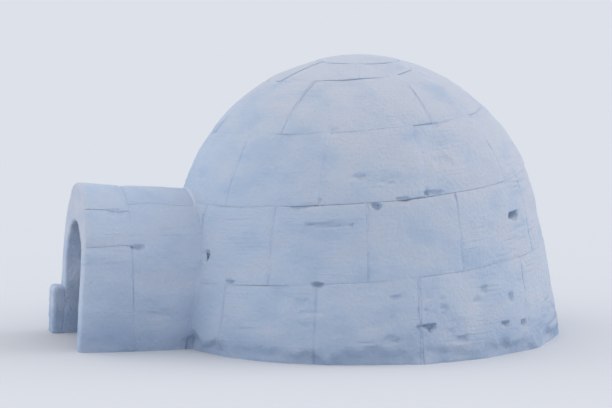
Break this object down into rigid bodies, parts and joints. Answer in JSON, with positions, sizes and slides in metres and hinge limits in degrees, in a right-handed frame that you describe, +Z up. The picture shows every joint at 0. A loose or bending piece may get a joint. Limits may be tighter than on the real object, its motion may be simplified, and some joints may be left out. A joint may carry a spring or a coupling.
{
  "type": "igloo",
  "caption": "Small snow house: a dome of wind-packed snow blocks laid in one rising spiral and closed by a king block, with a short vaulted entrance passage.",
  "frame": {"origin": "middle of the dome's floor, on the ground", "axes": "+Z up, -Y out of the entrance passage, +X to the right for someone facing the entrance"},
  "size_m": [2.6297, 3.2788, 1.795],
  "materials": {
    "snow_block": "matte wind-packed snow",
    "chinking_snow": "matte loose snow packed into joints"
  },
  "bodies": {
    "root": {"closing_ring_back_left": "snow_block", "closing_ring_back_right": "snow_block", "closing_ring_front_left": "snow_block", "closing_ring_front_right": "snow_block", "doorway_lintel": "snow_block", "entrance_foot_block": "snow_block", "entrance_front_crown_block": "snow_block", "entrance_front_left_haunch": "snow_block", "entrance_front_left_jamb": "snow_block", "entrance_front_right_haunch": "snow_block", "entrance_front_right_jamb": "snow_block", "entrance_rear_crown_block": "snow_block", "entrance_rear_left_haunch": "snow_block", "entrance_rear_left_jamb": "snow_block", "entrance_rear_right_haunch": "snow_block", "entrance_rear_right_jamb": "snow_block", "fourth_ring_back_left": "snow_block", "fourth_ring_back_right": "snow_block", "fourth_ring_front_left": "snow_block", "fourth_ring_front_right": "snow_block", "king_block": "snow_block", "ramp_ring_back_left": "snow_block", "ramp_ring_back_right": "snow_block", "ramp_ring_front_left": "snow_block", "ramp_ring_front_right": "snow_block", "second_ring_back_left": "snow_block", "second_ring_back_right": "snow_block", "second_ring_front_left": "snow_block", "second_ring_front_right": "snow_block", "third_ring_back_left": "snow_block", "third_ring_back_right": "snow_block", "third_ring_front_left": "snow_block", "third_ring_front_right": "snow_block", "closing_ring_chinking": "chinking_snow", "fourth_ring_chinking": "chinking_snow", "ramp_ring_chinking": "chinking_snow", "second_ring_chinking": "chinking_snow", "third_ring_chinking": "chinking_snow"}
  },
  "joints": []
}
